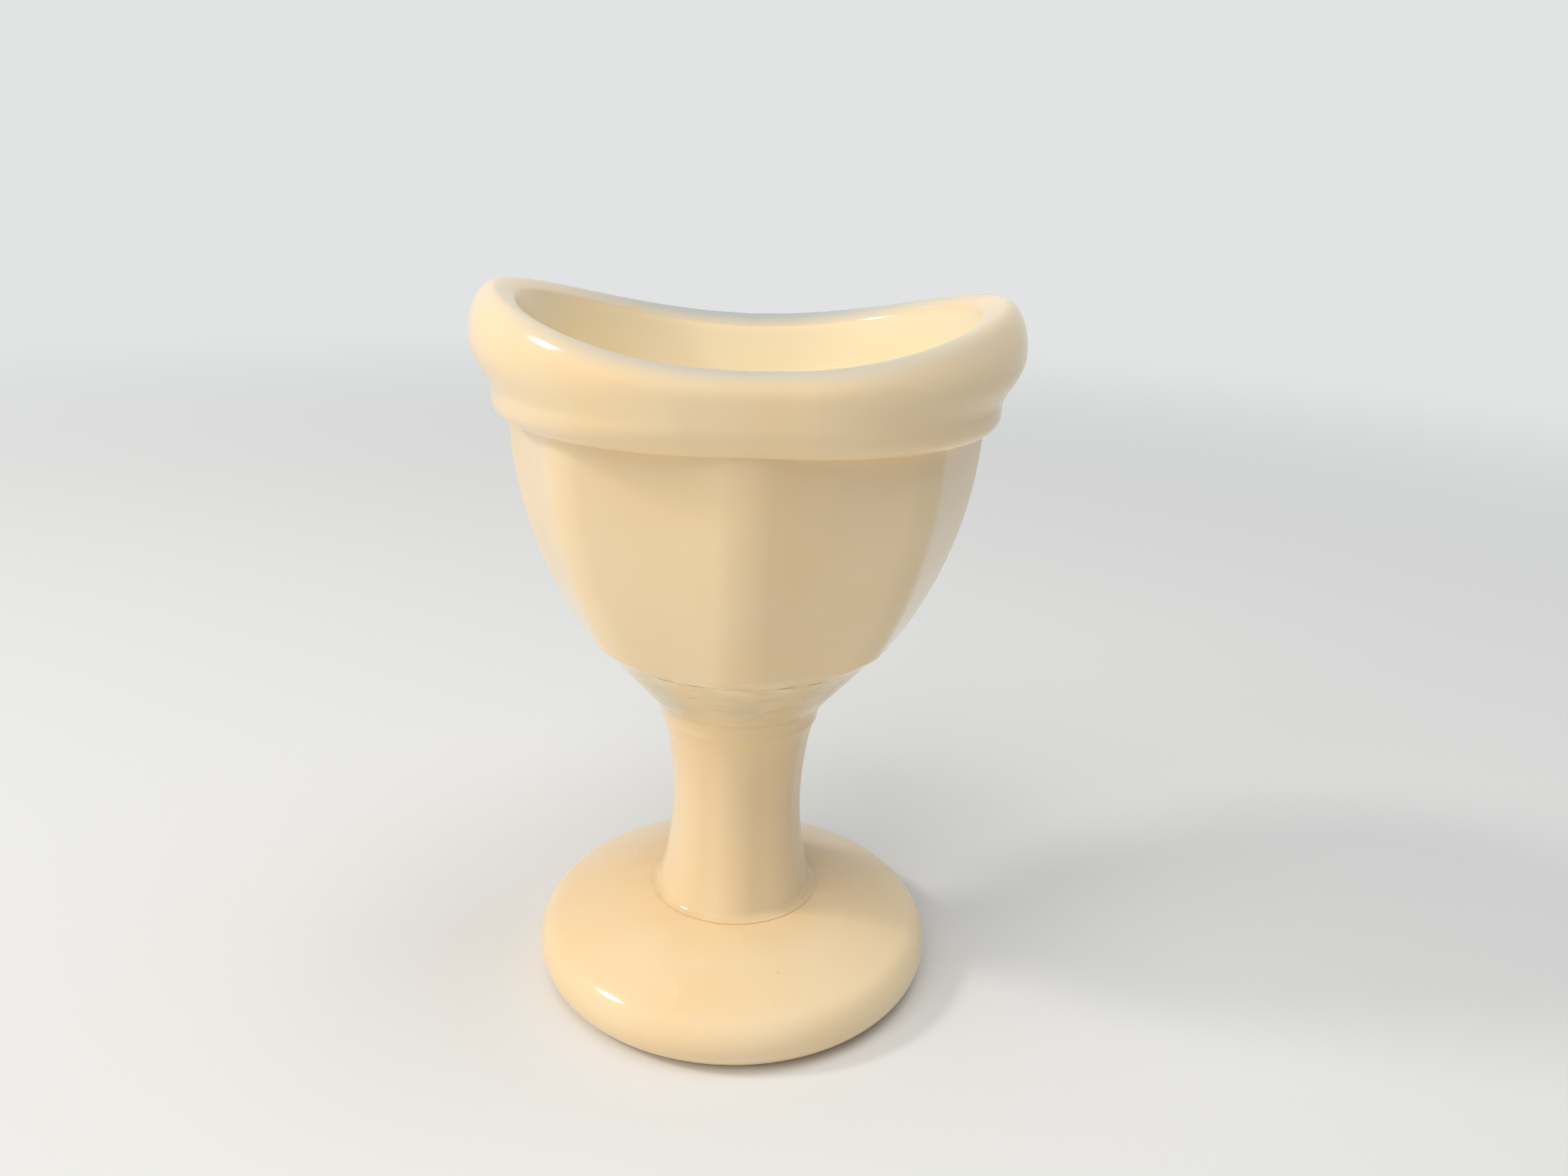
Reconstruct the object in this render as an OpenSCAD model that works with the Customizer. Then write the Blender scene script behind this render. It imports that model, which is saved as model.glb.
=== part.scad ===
// Eye bath of opaque white pressed glass: a saddle rimmed cup on a panelled stem and a round foot.
// The glass is divided along its mould lines into six solids that meet on flat horizontal faces.
// Sizes are in millimetres. The origin is the middle of the foot's underside, +Z is up, +X runs to a horn.

/* [Foot] */
// Widest diameter of the foot
foot_d = 36; // [28:0.5:44]
// Radius of the full round along the foot's edge
foot_round = 2.6; // [1.6:0.1:3.6]
// Slope of the domed top where it meets the rounded edge, in degrees
foot_slope = 23.5; // [14:0.5:28]

/* [Stem] */
// Height of the stem from the foot to the neck
stem_h = 17.3; // [12:0.1:24]
// Width across the flats at the waist
stem_waist = 11; // [8:0.1:14]
// Height of the waist above the foot
stem_waist_h = 9; // [5:0.1:12]
// Gain in width across the flats from the waist to the top
stem_flare = 1.9; // [0.6:0.1:3]
// Radius of the fillet where the stem meets the foot
stem_fillet = 0.8; // [0.4:0.1:1.4]
// Thickness of the fillet at its outer edge
fillet_lip = 0.15; // [0.1:0.05:0.3]

/* [Neck] */
// Height of the short ring under the crease
ring_h = 1.7; // [1:0.1:4]
// Diameter of the ring at the crease
ring_d = 14.8; // [12:0.1:18]
// Height of the smooth cone between the crease and the panels
cone_h = 5.5; // [3:0.1:8]
// Step outward from the ring to the cone at the crease
crease_step = 0.1; // [0.1:0.05:0.6]

/* [Bowl] */
// Height of the panelled bowl from the neck cone to the collar
bowl_h = 19.5; // [15:0.1:28]
// Width across the flats where the bowl leaves the neck
bowl_foot_w = 24; // [20:0.1:27]
// Length of the bowl at its top, over the two end ridges
bowl_l = 39.3; // [36:0.1:42]
// Width of the bowl at its top, over the front and back ridges
bowl_w = 33.5; // [31:0.1:36]
// Facing angle of the end panels from the long axis, in degrees
end_panel = 27; // [23:0.5:31]
// Facing angle of the front panels from the long axis, in degrees
front_panel = 71.5; // [67:0.5:75]

/* [Hollow] */
// Width of the hollow at the widest part of its round bottom
hollow_w = 25; // [20:0.1:26]
// Height of the hollow's floor above the top of the neck cone
floor_h = 2.1; // [1:0.1:7]
// Gain in half width from the round bottom to the horn tips
hollow_flare = 1.6; // [0.4:0.1:2]

/* [Rim] */
// Distance from the middle to the centre of each rounded end of the oval
oval_offset = 3.1; // [1:0.1:4]
// Half width of the oval along the crest of the rim
crest_r = 16.4; // [15.5:0.1:18]
// Height of the crest above the collar at the front and the back
dip_h = 3.8; // [3:0.1:6]
// Further height of the crest at the two horns
horn_rise = 3.9; // [1:0.1:6]
// Reach of the rolled rim beyond its crest at the horns
horn_bulge = 2.6; // [2:0.1:4]
// Reach of the rolled rim beyond its crest at the front and the back
front_bulge = 1.8; // [1.6:0.1:2.6]
// Reach of the rim and the collar beyond the crest where they meet
seam_reach = 1.25; // [1:0.05:1.5]
// Height of the collar under the rim
collar_h = 2.2; // [1.6:0.1:4]
// Radius of the collar's rounded lower edge
collar_round = 0.9; // [0.5:0.1:1.4]

/* [Hidden] */
$fn = 96;
// Colour of the glass
glass_colour = [0.93, 0.88, 0.78];
// Overlap given to cutters so that they pass clean through a face
clear = 1;

// Foot: the dome is tangent to the rounded edge
foot_r = foot_d / 2;
edge_x = foot_r - foot_round + foot_round * sin(foot_slope);
edge_z = foot_round + foot_round * cos(foot_slope);
dome_r = edge_x / sin(foot_slope);
dome_z = edge_z - dome_r * cos(foot_slope);

// Stem: one arc through the waist and the top, eight flats
panel_count = 8;
corner = 1 / cos(180 / panel_count);
waist_half = stem_waist / 2;
top_half = waist_half + stem_flare / 2;
waist_to_top = stem_h - stem_waist_h;
waist_arc = (waist_to_top * waist_to_top + pow(stem_flare / 2, 2)) / stem_flare;
stem_half = waist_half + waist_arc - sqrt(waist_arc * waist_arc - stem_waist_h * stem_waist_h);
stem_top_r = top_half * corner;
stem_foot_r = stem_half * corner;
fillet_r = stem_half + stem_fillet;
seat_r = max(fillet_r, stem_foot_r + fillet_lip);

// Heights of the joints between the solids
foot_h = dome_z + sqrt(dome_r * dome_r - seat_r * seat_r);
z_neck = foot_h + stem_h;
z_crease = z_neck + ring_h;
z_bowl = z_crease + cone_h;
z_collar = z_bowl + bowl_h;
z_rim = z_collar + collar_h;
z_dip = z_rim + dip_h;
z_horn = z_dip + horn_rise;

// Bowl panels: half widths at the top and the arcs that carry them down to the neck
end_half = bowl_l / 2 * cos(end_panel);
front_half = bowl_w / 2 * sin(front_panel);
bowl_foot_half = bowl_foot_w / 2;
cone_top_r = bowl_foot_half + crease_step;
ridge_trim = 1.25;

// Hollow: a round bottom under a slightly flared wall
hollow_r = hollow_w / 2;
z_hollow = z_bowl + floor_h + hollow_r;
z_open = z_horn + clear;
open_r = hollow_at(z_open);

// Half width of the hollow's flared wall at a height
function hollow_at(z) = hollow_r + hollow_flare * (z - z_hollow) / (z_horn - z_hollow);

// Collar and rim
collar_r = crest_r + seam_reach;
horn_x = oval_offset + crest_r;
rim_core = 0.5;
roll_points = 18;
end_stations = 36;
side_stations = 4;

// Radius of the arc, vertical at the top, that leads from one half width to another
function lead_arc(h, from, to) = (h * h + pow(to - from, 2)) / (2 * (to - from));

// Symmetrical outline of a pair of opposite bowl panels
module panel_outline(half) {
    arc = lead_arc(bowl_h, bowl_foot_half, half);
    intersection() {
        translate([-half, 0]) square([2 * half, bowl_h]);
        translate([half - arc, bowl_h]) circle(arc);
        translate([arc - half, bowl_h]) circle(arc);
    }
}

// Pair of opposite bowl panels that faces along the given direction
module panel_pair(half, facing) {
    reach = bowl_l;
    translate([0, 0, z_bowl]) rotate([0, 0, facing]) rotate([90, 0, 0])
        linear_extrude(2 * reach, center = true) panel_outline(half);
}

// Sweep of a half outline round the oval, with the outline's x axis outward from each end centre
module oval_sweep() {
    for (side = [0, 180])
        rotate([0, 0, side]) translate([oval_offset, 0, 0]) rotate_extrude() children();
    rotate([90, 0, 90]) linear_extrude(2 * oval_offset, center = true) {
        children();
        mirror([1, 0]) children();
    }
}

// Hollow that takes the eye lotion
module hollow() {
    oval_sweep() {
        intersection() {
            translate([0, z_hollow]) circle(hollow_r);
            translate([0, z_hollow - hollow_r - clear]) square([hollow_r + clear, hollow_r + clear]);
        }
        polygon([[0, z_hollow], [hollow_r, z_hollow], [open_r, z_open], [0, z_open]]);
    }
}

// Outline of one side of the stem from the axis to the waisted panel
module waist_outline() {
    difference() {
        square([stem_half + stem_flare, stem_h]);
        translate([waist_half + waist_arc, stem_waist_h]) circle(waist_arc);
    }
}

// Round domed foot with a full rounded edge and a flat seat for the stem
module foot() {
    color(glass_colour)
    rotate_extrude() {
        intersection() {
            union() {
                square([foot_r - foot_round, foot_round]);
                translate([foot_r - foot_round, foot_round]) circle(foot_round);
                intersection() {
                    translate([0, dome_z]) circle(dome_r);
                    translate([0, foot_round]) square([edge_x, foot_h]);
                }
            }
            square([foot_r, foot_h]);
        }
    }
}

// Waisted stem with eight panels and a small fillet at the foot
module stem() {
    color(glass_colour)
    translate([0, 0, foot_h]) {
        intersection() {
            stem_flats(0);
            stem_flats(1);
            stem_flats(2);
            stem_flats(3);
        }
        rotate_extrude() difference() {
            square([fillet_r, stem_fillet]);
            translate([fillet_r, stem_fillet + fillet_lip]) circle(stem_fillet);
        }
    }
}

// One pair of opposite stem panels
module stem_flats(index) {
    rotate([0, 0, (index + 0.5) * 360 / panel_count]) rotate([90, 0, 0])
        linear_extrude(4 * stem_half, center = true) {
            waist_outline();
            mirror([1, 0]) waist_outline();
        }
}

// Smooth neck: a short ring, a crease and a cone up to the panels
module neck() {
    color(glass_colour)
    rotate_extrude() polygon([
        [0, z_neck],
        [stem_top_r, z_neck],
        [ring_d / 2, z_crease],
        [ring_d / 2 + crease_step, z_crease],
        [cone_top_r, z_bowl],
        [0, z_bowl]
    ]);
}

// Panelled bowl, ridges trimmed at the neck, with the hollow inside
module bowl() {
    color(glass_colour)
    difference() {
        intersection() {
            panel_pair(end_half, end_panel);
            panel_pair(end_half, -end_panel);
            panel_pair(front_half, front_panel);
            panel_pair(front_half, -front_panel);
            translate([0, 0, z_bowl])
                cylinder(h = bowl_h, r1 = cone_top_r, r2 = cone_top_r + ridge_trim * bowl_h);
        }
        hollow();
    }
}

// Plain oval collar with a rounded lower edge
module collar() {
    color(glass_colour)
    difference() {
        oval_sweep() {
            translate([0, z_collar]) square([collar_r - collar_round, collar_h]);
            translate([0, z_collar + collar_round]) square([collar_r, collar_h - collar_round]);
            intersection() {
                translate([collar_r - collar_round, z_collar + collar_round]) circle(collar_round);
                translate([0, z_collar]) square([collar_r, collar_h]);
            }
        }
        hollow();
    }
}

// Stations round the crest: centre of the end, outward direction and place along the straight sides
end_step = 180 / end_stations;
side_step = 2 * oval_offset / side_stations;
crest_path = concat(
    [for (i = [0 : end_stations]) [oval_offset, i * end_step - 90]],
    [for (i = [1 : side_stations - 1]) [oval_offset - i * side_step, 90]],
    [for (i = [0 : end_stations]) [-oval_offset, i * end_step + 90]],
    [for (i = [1 : side_stations - 1]) [i * side_step - oval_offset, 270]]
);

// Height of the crest above the collar at a distance along the long axis
function crest_h(x) = dip_h + horn_rise * pow(x / horn_x, 2);

// Reach of the roll beyond the crest at a distance along the long axis
function bulge(x) = front_bulge + (horn_bulge - front_bulge) * pow(x / horn_x, 2);

// Point of the rolled section: outward from the crest and up from the collar
function roll_point(x, k) =
    let (
        wide = bulge(x) - rim_core,
        tall = crest_h(x) / 2,
        low = acos((seam_reach - rim_core) / wide),
        turn = k / (roll_points - 1) * (180 + low) - low,
        drop = turn < 0 ? tall / sin(low) : tall,
        wall = crest_r - hollow_at(z_rim + tall),
        inner = turn > 90 ? wall + rim_core : wide
    )
    [rim_core + inner * cos(turn), tall + drop * sin(turn)];

// Closed section of the rim at one station, from the seam over the crest and down inside
function rim_section(x) = concat(
    [for (k = [0 : roll_points - 1]) roll_point(x, k)],
    [[hollow_at(z_rim) - crest_r, 0]]
);

// Saddle shaped rolled rim with a horn at each end
module rim() {
    count = len(crest_path);
    size = roll_points + 1;
    points = [
        for (s = crest_path)
            let (x = s[0] + crest_r * cos(s[1]))
            for (p = rim_section(x))
                [s[0] + (crest_r + p[0]) * cos(s[1]), (crest_r + p[0]) * sin(s[1]), z_rim + p[1]]
    ];
    faces = [
        for (i = [0 : count - 1])
            for (k = [0 : size - 1])
                let (
                    a = i * size + k,
                    b = i * size + (k + 1) % size,
                    c = ((i + 1) % count) * size + (k + 1) % size,
                    d = ((i + 1) % count) * size + k
                )
                for (tri = [[a, b, c], [a, c, d]]) tri
    ];
    color(glass_colour)
    polyhedron(points = points, faces = faces);
}

foot();
stem();
neck();
bowl();
collar();
rim();
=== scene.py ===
"""Eye bath of opaque white pressed glass, modelled and finished section by section.

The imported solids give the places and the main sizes. Each section of the glass is modelled
again with soft ridges, rolled edges and smooth joins, and takes one opal glass finish.
"""

import math

import bmesh
import bpy
from bpy.props import FloatProperty, FloatVectorProperty, PointerProperty
from bpy.types import Operator, Panel, PropertyGroup
from mathutils import Matrix, Vector


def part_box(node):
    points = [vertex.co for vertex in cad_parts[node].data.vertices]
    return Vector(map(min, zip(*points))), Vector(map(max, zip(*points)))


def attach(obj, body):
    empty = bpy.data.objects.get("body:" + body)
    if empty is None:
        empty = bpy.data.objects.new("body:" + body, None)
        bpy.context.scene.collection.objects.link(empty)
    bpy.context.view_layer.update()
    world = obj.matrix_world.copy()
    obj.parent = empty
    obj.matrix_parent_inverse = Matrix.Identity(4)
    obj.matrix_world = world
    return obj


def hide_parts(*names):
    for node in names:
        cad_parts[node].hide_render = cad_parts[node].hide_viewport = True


bl_info = {
    "name": "Eye Bath",
    "version": (1, 0, 0),
    "blender": (4, 5, 0),
    "location": "3D View > Sidebar > Eye Bath",
    "description": "Builds a pressed glass eye bath with its finish, stage and camera",
    "category": "Object",
}

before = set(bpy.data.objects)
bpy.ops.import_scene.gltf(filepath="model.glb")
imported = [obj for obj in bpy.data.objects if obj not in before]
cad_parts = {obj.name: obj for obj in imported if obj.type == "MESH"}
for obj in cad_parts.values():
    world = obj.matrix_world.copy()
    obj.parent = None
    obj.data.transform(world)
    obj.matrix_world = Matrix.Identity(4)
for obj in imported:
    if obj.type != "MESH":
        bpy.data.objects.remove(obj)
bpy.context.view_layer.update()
TOP = {node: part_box(node)[1] for node in ("foot", "stem", "neck", "bowl", "collar", "rim")}
MM = 0.001

PANELS = 8
RING_STEPS = 128
CREST_CORE = 0.5 * MM
SAME_POINT = 0.002 * MM
SAME_RING = 0.004 * MM
CLEAR_OF = 0.01 * MM
QUARTER = math.pi / 2.0
SCALLOP_SPREAD = 1.15


def length(name, description, default):
    """A length in metres that shows in the sidebar."""
    return FloatProperty(
        name=name, description=description, default=default, min=0.0, precision=5, unit="LENGTH"
    )


def angle(name, description, default):
    """An angle that shows in the sidebar."""
    return FloatProperty(name=name, description=description, default=default, subtype="ANGLE")


def power(name, description, default):
    """A lamp's power in watts that shows in the sidebar."""
    return FloatProperty(name=name, description=description, default=default, unit="POWER")


def colour(name, description, default):
    """A linear colour that shows in the sidebar."""
    return FloatVectorProperty(
        name=name, description=description, default=default, size=3, min=0.0, max=1.0, subtype="COLOR"
    )


class EyeBathSizes(PropertyGroup):
    """Sizes of the glass. Heights and reaches that the solids fix come from the frame."""

    foot_radius: length("Foot radius", "Widest radius of the foot", TOP["foot"].x)
    foot_height: length("Foot height", "Height of the seat that carries the stem", TOP["foot"].z)
    foot_round: length("Foot round", "Radius of the full round along the foot's edge", 2.6 * MM)
    foot_slope: angle("Foot slope", "Slope of the dome where it leaves the edge", math.radians(23.5))
    stem_top: length("Stem top", "Height of the joint between stem and neck", TOP["stem"].z)
    stem_waist: length("Stem waist", "Half width across the flats at the waist", 5.7 * MM)
    stem_waist_height: length("Waist height", "Height of the waist above the foot", 9.2 * MM)
    stem_flare: length("Stem flare", "Gain in half width from the waist to the neck", 0.95 * MM)
    stem_fillet: length("Stem fillet", "Radius of the fillet where the stem meets the foot", 0.6 * MM)
    stem_ridge: length("Stem ridge", "Softness of the stem's ridges", 1.7 * MM)
    neck_radius: length("Neck radius", "Radius of the joint between stem and neck", 6.95 * MM)
    crease_radius: length("Crease radius", "Radius of the crease under the cone", 7.5 * MM)
    crease_height: length("Crease height", "Height of the crease above the stem", 1.7 * MM)
    cone_radius: length("Cone radius", "Radius of the smooth cone where the panels begin", 12.2 * MM)
    bowl_bottom: length("Bowl bottom", "Height where the panels begin", TOP["neck"].z)
    bowl_top: length("Bowl top", "Height of the collar's underside", TOP["bowl"].z)
    bowl_length: length("Bowl length", "Reach of the sharp end ridges at top", TOP["bowl"].x + 0.3 * MM)
    bowl_width: length("Bowl width", "Reach of the sharp front ridges at top", TOP["bowl"].y + 0.35 * MM)
    bowl_foot_length: length("Foot of the ends", "Reach of the end ridges at the neck", 13.7 * MM)
    bowl_foot_width: length("Foot of the fronts", "Reach of the front ridges at the neck", 13.35 * MM)
    scallop: length("Scallop", "Height over which the ridges fade into the cone", 3.2 * MM)
    lap: length("Panel lap", "How far the panels lap over the neck", 0.04 * MM)
    bowl_ridge: length("Bowl ridge", "Softness of the bowl's ridges", 2.0 * MM)
    hollow_radius: length("Hollow radius", "Half width of the round bottomed hollow", 12.5 * MM)
    hollow_floor: length("Hollow floor", "Height of the floor above the panels' lower edge", 2.1 * MM)
    hollow_slope: angle("Hollow slope", "Slope of the hollow's wall", math.radians(13.0))
    oval_offset: length("Oval offset", "Distance from the middle to each end's centre", 3.1 * MM)
    collar_top: length("Collar top", "Height of the joint between collar and rim", TOP["collar"].z)
    end_seam: length("End seam", "Reach of the rim's seam beyond the crest at the ends", 1.0 * MM)
    front_seam: length("Front seam", "Reach of the rim's seam beyond the crest at the front", 1.8 * MM)
    collar_round: length("Collar round", "Radius of the collar's rounded lower edge at the ends", 1.25 * MM)
    front_lean: FloatProperty(
        name="Front lean",
        description="How far the collar leans in at the front, as a share of its height",
        default=0.55,
        min=0.0,
    )
    crest_radius: length("Crest radius", "Half width of the oval along the crest of the rim", 16.4 * MM)
    dip_height: length("Dip height", "Height of the crest above the collar at the front and back", 3.8 * MM)
    horn_rise: length("Horn rise", "Further height of the crest at the horns", 3.9 * MM)
    lip_radius: length("Lip radius", "Radius of the inner lip of the rim", 15.2 * MM)
    lip_drop: length("Lip drop", "How far the inner lip lies below the crest", 0.95 * MM)
    lip_round: length("Lip rounding", "How far the rounding of the inner lip reaches", 0.4 * MM)
    horn_bulge: length("Horn bulge", "Reach of the roll beyond its crest", TOP["rim"].x - 19.5 * MM)
    front_bulge: length("Front bulge", "Reach of the roll beyond its crest at the front", 1.85 * MM)


class EyeBathFinish(PropertyGroup):
    """Colours of the glass, with a painted glow and painted shade among them."""

    body: colour("Glass", "Colour of the thick glass", (0.94, 0.70, 0.405))
    pale: colour("Pale glass", "Colour of the paler streaks in the glass", (0.95, 0.75, 0.48))
    # Partly painted shade: the cloudy band's colour is darker and cooler than the body, a real chilled tone
    # that also stands in for the shade under the bowl.
    cloud_and_shade: colour("Cloudy band", "Colour of the chilled glass above the crease", (0.67, 0.62, 0.46))
    # Painted glow: the paler colour inside the cup stands in for light shining through the thin walls; it
    # also lightens the fringe over the neck.
    hollow: colour("Hollow", "Colour of the glass inside the cup", (0.96, 0.84, 0.60))
    thin: colour("Thin edge", "Milky blue of the glass where it is thin", (0.30, 0.40, 0.45))
    # Both real and painted: the specks are real dirt, while the same dark colour in the crease and fillet
    # bands is painted shade.
    specks_and_crease_shade: colour("Grime", "Old dirt in the creases and specks", (0.26, 0.21, 0.09))
    film: colour("Film", "Warm film of old dirt round the foot of the stem", (0.80, 0.50, 0.14))


class EyeBathStage(PropertyGroup):
    """Floor, light and camera."""

    floor: colour("Floor", "Colour of the floor", (0.80, 0.81, 0.82))
    backdrop: colour("Backdrop", "Colour of the background far behind", (0.76, 0.77, 0.775))
    key_power: power("Key", "Power of the small lamp on the left", 1.0)
    box_power: power("Soft box", "Power of the broad lamp in front", 1.85)
    top_power: power("Top", "Power of the broad lamp above", 1.5)
    side_power: power("Side", "Power of the broad low lamp", 0.8)
    fill_power: power("Fill", "Power of the broad lamp on the right", 0.6)
    sky_strength: FloatProperty(
        name="Sky", description="Strength of the pale light from all round", default=0.18, min=0.0
    )
    sky_tint: colour("Sky tint", "Colour of the pale light from all round", (0.84, 0.93, 1.0))
    camera_distance: length("Camera distance", "Distance of the camera in front of the stem", 98.05 * MM)
    camera_height: length("Camera height", "Height of the camera above the floor", 70.79 * MM)
    camera_focus: FloatProperty(
        name="Focal length",
        description="Focal length on a 36 mm wide frame",
        default=27.67,
        min=1.0,
        unit="CAMERA",
    )
    camera_pitch: angle("Camera pitch", "Downward tilt", 0.336)
    camera_yaw: angle("Camera yaw", "Turn to the right", 0.0362)
    camera_roll: angle("Camera roll", "Roll about the view", 0.0405)


def start():
    """Leave edit mode and deselect everything."""
    if bpy.context.object and bpy.context.object.mode != "OBJECT":
        bpy.ops.object.mode_set(mode="OBJECT")
    bpy.ops.object.select_all(action="DESELECT")


def edit_mesh():
    """The mesh that is being edited."""
    return bmesh.from_edit_mesh(bpy.context.object.data)


def pick(test, among=None):
    """Select the vertices that pass the test, out of those given or out of all."""
    bpy.ops.mesh.select_mode(type="VERT")
    mesh = edit_mesh()
    wanted = {v.index for v in mesh.verts if (among is None or v.index in among) and test(v.co)}
    for v in mesh.verts:
        v.select_set(v.index in wanted)
    mesh.select_flush_mode()
    bmesh.update_edit_mesh(bpy.context.object.data)


def picked():
    """Indices of the selected vertices."""
    mesh = edit_mesh()
    mesh.verts.index_update()
    return {v.index for v in mesh.verts if v.select}


def pick_edges(test):
    """Select the edges whose two ends pass the test."""
    bpy.ops.mesh.select_mode(type="EDGE")
    mesh = edit_mesh()
    for e in mesh.edges:
        e.select_set(test(e.verts[0].co, e.verts[1].co))
    mesh.select_flush_mode()
    bmesh.update_edit_mesh(bpy.context.object.data)


def push(offset):
    """Extrude the selection and move it."""
    bpy.ops.mesh.extrude_region_move(TRANSFORM_OT_translate={"value": offset, "orient_type": "GLOBAL"})


def stretch(x, y, centre):
    """Scale the selection in plan about a point."""
    bpy.ops.transform.resize(value=(x, y, 1.0), orient_type="GLOBAL", center_override=centre)


def close_shell():
    """Merge doubles, turn every face outward and stop if an edge is left open."""
    bpy.ops.mesh.select_all(action="SELECT")
    bpy.ops.mesh.remove_doubles(threshold=SAME_POINT)
    bpy.ops.mesh.normals_make_consistent(inside=False)
    if not all(edge.is_manifold for edge in edit_mesh().edges):
        raise RuntimeError("The shell has an open edge")


def hand_over(name, node, finish, sharp=40.0):
    """Name the finished section, smooth it, give it its finish and let it stand for its solid."""
    bpy.ops.object.mode_set(mode="OBJECT")
    piece = bpy.context.object
    piece.name = name
    piece.data.name = name
    bpy.ops.object.shade_smooth_by_angle(angle=math.radians(sharp))
    piece.data.materials.clear()
    piece.data.materials.append(finish)
    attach(piece, "root")
    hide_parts(node)
    return piece


def arc(centre, radius, first, last, count):
    """Points of an arc in the plane of the profile, angles in radians from +X."""
    turns = [first + (last - first) * i / count for i in range(count + 1)]
    return [(centre[0] + radius * math.cos(t), centre[1] + radius * math.sin(t)) for t in turns]


def draw_profile(points):
    """Draw a profile in the XZ plane by extruding one vertex from point to point."""
    start()
    bpy.ops.mesh.primitive_plane_add(size=MM, location=(points[0][0], 0.0, points[0][1]))
    bpy.ops.object.transform_apply(location=True)
    bpy.ops.object.mode_set(mode="EDIT")
    bpy.ops.mesh.select_all(action="SELECT")
    bpy.ops.mesh.merge(type="CENTER")
    for (x0, z0), (x1, z1) in zip(points, points[1:]):
        push((x1 - x0, 0.0, z1 - z0))


def lathe():
    """Spin the drawn profile round the stem's axis into a closed shell."""
    bpy.ops.mesh.select_all(action="SELECT")
    bpy.ops.mesh.spin(steps=RING_STEPS, angle=math.tau, center=(0.0, 0.0, 0.0), axis=(0.0, 0.0, 1.0))
    close_shell()


def lead_radius(rise, gain):
    """Radius of the arc, vertical at its upper end, that gains a width over a rise."""
    return (rise * rise + gain * gain) / (2.0 * gain)


def round_ring(height, amount, radius=None):
    """Draw the ring of vertices at a height towards a circle, and to a radius if one is given."""
    pick(lambda co: abs(co.z - height) < SAME_RING)
    bpy.ops.transform.tosphere(value=amount)
    if radius is not None:
        mesh = edit_mesh()
        reach = max(v.co.xy.length for v in mesh.verts if v.select)
        stretch(radius / reach, radius / reach, (0.0, 0.0, height))


def panel_rings(rings, ridge, cuts):
    """Stack eight-sided rings, each (height, half length, half width), with soft ridges."""
    start()
    height, half_length, half_width = rings[0]
    bpy.ops.mesh.primitive_circle_add(
        vertices=PANELS, radius=half_length, fill_type="NGON", location=(0.0, 0.0, height)
    )
    bpy.ops.object.transform_apply(location=True)
    bpy.ops.object.mode_set(mode="EDIT")
    bpy.ops.mesh.select_all(action="SELECT")
    bpy.ops.mesh.subdivide(number_cuts=cuts)
    stretch(1.0, half_width / half_length, (0.0, 0.0, height))
    for below, above in zip(rings, rings[1:]):
        push((0.0, 0.0, above[0] - below[0]))
        stretch(above[1] / below[1], above[2] / below[2], (0.0, 0.0, above[0]))
    reach = {round(ring[0], 7): ring for ring in rings}

    def on_ridge(co):
        _, along, across = reach[min(reach, key=lambda h: abs(h - co.z))]
        return math.hypot(co.x / along, co.y / across) > 0.999

    pick_edges(lambda a, b: abs(a.z - b.z) > CLEAR_OF and on_ridge(a) and on_ridge(b))
    segments = RING_STEPS // PANELS - cuts - 1
    bpy.ops.mesh.bevel(offset=ridge, segments=segments, profile=0.5, affect="EDGES")
    bpy.ops.mesh.select_mode(type="VERT")


def oval_ring(offset, half_length, half_width, height):
    """Add an oval ring: a circle whose two halves are moved apart along the long axis."""
    bpy.ops.mesh.primitive_circle_add(
        vertices=RING_STEPS, radius=half_width, fill_type="NOTHING", location=(0.0, 0.0, height)
    )
    if bpy.context.object.mode != "EDIT":
        bpy.ops.object.transform_apply(location=True)
        bpy.ops.object.mode_set(mode="EDIT")
        bpy.ops.mesh.select_all(action="SELECT")
    ring = picked()
    for side in (1.0, -1.0):
        pick(lambda co: co.x * side > CLEAR_OF, ring)
        bpy.ops.transform.translate(value=(side * offset, 0.0, 0.0), orient_type="GLOBAL")
        stretch((half_length - offset) / half_width, 1.0, (side * offset, 0.0, height))
    pick(lambda co: True, ring)


def oval_step(offset, below, above):
    """Extrude the selected oval ring to the next, each (height, half length, half width)."""
    push((0.0, 0.0, above[0] - below[0]))
    ring = picked()
    stretch(1.0, above[2] / below[2], (0.0, 0.0, above[0]))
    for side in (1.0, -1.0):
        pick(lambda co: co.x * side > offset, ring)
        stretch((above[1] - offset) / (below[1] - offset), 1.0, (side * offset, 0.0, above[0]))
    pick(lambda co: True, ring)


def oval_sweep(offset, rings):
    """Carry an oval ring through the rings of a closed section."""
    start()
    oval_ring(offset, rings[0][1], rings[0][2], rings[0][0])
    for below, above in zip(rings, rings[1:] + rings[:1]):
        oval_step(offset, below, above)
    close_shell()


def wall_half_width(sizes, height):
    """Half width of the hollow's sloping wall at a height above its round bottom."""
    slope = sizes.hollow_slope
    middle = sizes.bowl_bottom + sizes.hollow_floor + sizes.hollow_radius
    rise = height - middle + sizes.hollow_radius * math.sin(slope)
    return sizes.hollow_radius * math.cos(slope) + rise * math.tan(slope)


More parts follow.
